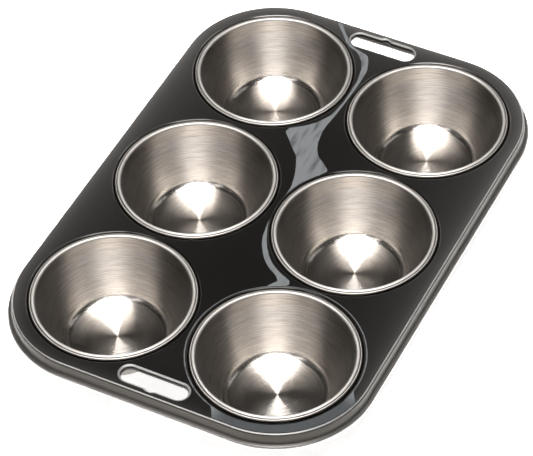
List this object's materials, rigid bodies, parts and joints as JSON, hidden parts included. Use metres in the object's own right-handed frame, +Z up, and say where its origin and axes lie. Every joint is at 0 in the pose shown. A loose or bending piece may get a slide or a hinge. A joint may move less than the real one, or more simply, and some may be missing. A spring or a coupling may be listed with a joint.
{
  "type": "muffin pan",
  "caption": "Sheet metal muffin pan: drawn tapered cups with rolled rims set in a polished round-cornered tray with a skirt, a rolled edge and a notched hanging slot at each end.",
  "frame": {"origin": "on the supporting surface, under the middle of the pan", "axes": "+Z up out of the cups' mouths, +Y along the pan's length from the front end to the back end, +X across its width to the right"},
  "size_m": [0.1764, 0.2556, 0.0292],
  "materials": {
    "polished_steel": "mirror polished",
    "brushed_steel": "satin, brushed in circles"
  },
  "bodies": {
    "root": {"deck_tray": "polished_steel", "cup_front_left": "brushed_steel", "cup_front_right": "brushed_steel", "cup_middle_left": "brushed_steel", "cup_middle_right": "brushed_steel", "cup_back_left": "brushed_steel", "cup_back_right": "brushed_steel"}
  },
  "joints": []
}
